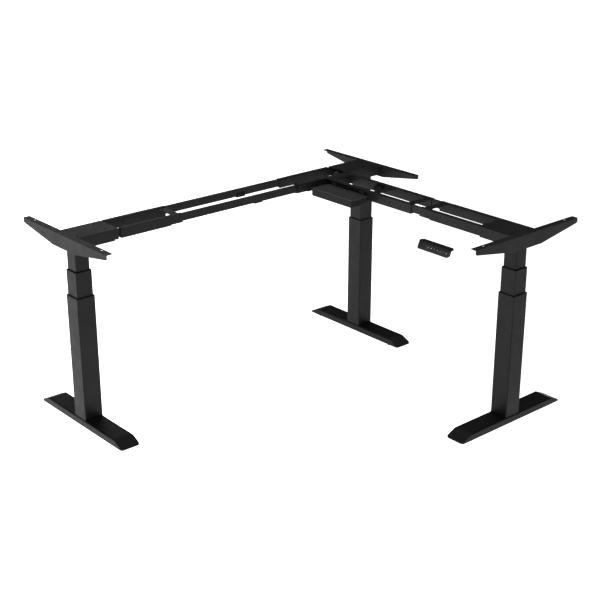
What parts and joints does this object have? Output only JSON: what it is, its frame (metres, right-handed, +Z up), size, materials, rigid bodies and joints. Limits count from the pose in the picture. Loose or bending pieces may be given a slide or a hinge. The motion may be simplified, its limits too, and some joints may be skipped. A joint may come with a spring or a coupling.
{
  "type": "height adjustable desk frame",
  "caption": "Black powder-coated L-shaped sit-stand desk frame: telescopic electric legs, extending arms, control box and keypad.",
  "frame": {"origin": "middle of the frame's rectangular footprint, on the floor", "axes": "+X along the main arm from the left leg to the corner leg, +Y towards the back, away from the side arm's free end, +Z up"},
  "size_m": [1.6484, 1.4414, 0.812],
  "materials": {
    "column_powder_coat": "satin",
    "foot_powder_coat": "satin",
    "arm_powder_coat": "satin",
    "guide_plastic": "matte",
    "black_rubber": "matte",
    "screw_steel": "satin",
    "motor_housing": "satin",
    "black_screws": "satin",
    "box_plastic": "matte",
    "box_lid_paint": "matte",
    "handset_plastic": "satin",
    "button_rubber": "matte"
  },
  "bodies": {
    "corner_base": {"corner_foot": "foot_powder_coat", "corner_glides": "black_rubber", "corner_outer_tube": "column_powder_coat", "corner_outer_collar": "guide_plastic", "corner_base_screw": "screw_steel"},
    "corner_mid": {"corner_middle_tube": "column_powder_coat", "corner_middle_guides": "guide_plastic", "corner_spindle": "screw_steel"},
    "corner_top": {"corner_inner_tube": "column_powder_coat", "corner_drive_shaft": "screw_steel", "corner_head": "arm_powder_coat", "corner_gear_motor": "motor_housing", "corner_bracket": "arm_powder_coat", "corner_arm": "arm_powder_coat", "corner_arm_screws": "black_screws", "corner_side_arm": "arm_powder_coat", "control_box_case": "box_plastic", "control_box_lid": "box_lid_paint"},
    "left_base": {"left_foot": "foot_powder_coat", "left_glides": "black_rubber", "left_outer_tube": "column_powder_coat", "left_outer_collar": "guide_plastic", "left_base_screw": "screw_steel"},
    "left_mid": {"left_middle_tube": "column_powder_coat", "left_middle_guides": "guide_plastic", "left_spindle": "screw_steel"},
    "left_top": {"left_inner_tube": "column_powder_coat", "left_drive_shaft": "screw_steel", "left_head": "arm_powder_coat", "left_gear_motor": "motor_housing", "left_bracket": "arm_powder_coat", "left_arm": "arm_powder_coat", "left_arm_screws": "black_screws"},
    "right_base": {"right_foot": "foot_powder_coat", "right_glides": "black_rubber", "right_outer_tube": "column_powder_coat", "right_outer_collar": "guide_plastic", "right_base_screw": "screw_steel"},
    "right_mid": {"right_middle_tube": "column_powder_coat", "right_middle_guides": "guide_plastic", "right_spindle": "screw_steel"},
    "right_top": {"right_inner_tube": "column_powder_coat", "right_drive_shaft": "screw_steel", "right_head": "arm_powder_coat", "right_gear_motor": "motor_housing", "right_bracket": "arm_powder_coat", "right_arm": "arm_powder_coat", "right_arm_screws": "black_screws", "handset_case": "handset_plastic", "handset_mount_plate": "guide_plastic"},
    "main_rails": {"main_rails": "arm_powder_coat", "main_rail_clips": "guide_plastic"},
    "side_rails": {"side_rails": "arm_powder_coat"},
    "button_up": {"button_up": "button_rubber"},
    "button_down": {"button_down": "button_rubber"},
    "button_memory_1": {"button_memory_1": "button_rubber"},
    "button_memory_2": {"button_memory_2": "button_rubber"},
    "button_memory_3": {"button_memory_3": "button_rubber"},
    "button_memory_4": {"button_memory_4": "button_rubber"},
    "button_set": {"button_set": "button_rubber"}
  },
  "joints": [
    {"name": "lift", "type": "slide", "parent": "corner_base", "child": "corner_top", "axis": [0, 0, 1], "range_m": [-0.185, 0.465]},
    {"name": "corner_middle_lift", "type": "slide", "parent": "corner_base", "child": "corner_mid", "axis": [0, 0, 1], "range_m": [-0.0925, 0.2325]},
    {"name": "main_width", "type": "slide", "parent": "corner_base", "child": "left_base", "axis": [-1, 0, 0], "range_m": [-0.16, 0.28]},
    {"name": "left_lift", "type": "slide", "parent": "left_base", "child": "left_top", "axis": [0, 0, 1], "range_m": [-0.185, 0.465]},
    {"name": "left_middle_lift", "type": "slide", "parent": "left_base", "child": "left_mid", "axis": [0, 0, 1], "range_m": [-0.0925, 0.2325]},
    {"name": "side_width", "type": "slide", "parent": "corner_base", "child": "right_base", "axis": [0, -1, 0], "range_m": [-0.04, 0.34]},
    {"name": "right_lift", "type": "slide", "parent": "right_base", "child": "right_top", "axis": [0, 0, 1], "range_m": [-0.185, 0.465]},
    {"name": "right_middle_lift", "type": "slide", "parent": "right_base", "child": "right_mid", "axis": [0, 0, 1], "range_m": [-0.0925, 0.2325]},
    {"name": "main_rail_slide", "type": "slide", "parent": "corner_top", "child": "main_rails", "axis": [-1, 0, 0], "range_m": [-0.08, 0.14]},
    {"name": "side_rail_slide", "type": "slide", "parent": "corner_top", "child": "side_rails", "axis": [0, -1, 0], "range_m": [-0.02, 0.17]},
    {"name": "press_up", "type": "slide", "parent": "right_top", "child": "button_up", "axis": [0.9272, 0, -0.3746], "range_m": [0, 0.0008], "stiffness_N_per_m": 600},
    {"name": "press_down", "type": "slide", "parent": "right_top", "child": "button_down", "axis": [0.9272, 0, -0.3746], "range_m": [0, 0.0008], "stiffness_N_per_m": 600},
    {"name": "press_memory_1", "type": "slide", "parent": "right_top", "child": "button_memory_1", "axis": [0.9272, 0, -0.3746], "range_m": [0, 0.0008], "stiffness_N_per_m": 600},
    {"name": "press_memory_2", "type": "slide", "parent": "right_top", "child": "button_memory_2", "axis": [0.9272, 0, -0.3746], "range_m": [0, 0.0008], "stiffness_N_per_m": 600},
    {"name": "press_memory_3", "type": "slide", "parent": "right_top", "child": "button_memory_3", "axis": [0.9272, 0, -0.3746], "range_m": [0, 0.0008], "stiffness_N_per_m": 600},
    {"name": "press_memory_4", "type": "slide", "parent": "right_top", "child": "button_memory_4", "axis": [0.9272, 0, -0.3746], "range_m": [0, 0.0008], "stiffness_N_per_m": 600},
    {"name": "press_set", "type": "slide", "parent": "right_top", "child": "button_set", "axis": [0.9272, 0, -0.3746], "range_m": [0, 0.0008], "stiffness_N_per_m": 600}
  ],
  "couplings": [
    {"joint": "corner_middle_lift", "follows": "lift", "ratio": 0.5},
    {"joint": "left_lift", "follows": "lift", "ratio": 1},
    {"joint": "left_middle_lift", "follows": "lift", "ratio": 0.5},
    {"joint": "right_lift", "follows": "lift", "ratio": 1},
    {"joint": "right_middle_lift", "follows": "lift", "ratio": 0.5},
    {"joint": "main_rail_slide", "follows": "main_width", "ratio": 0.5},
    {"joint": "side_rail_slide", "follows": "side_width", "ratio": 0.5}
  ]
}
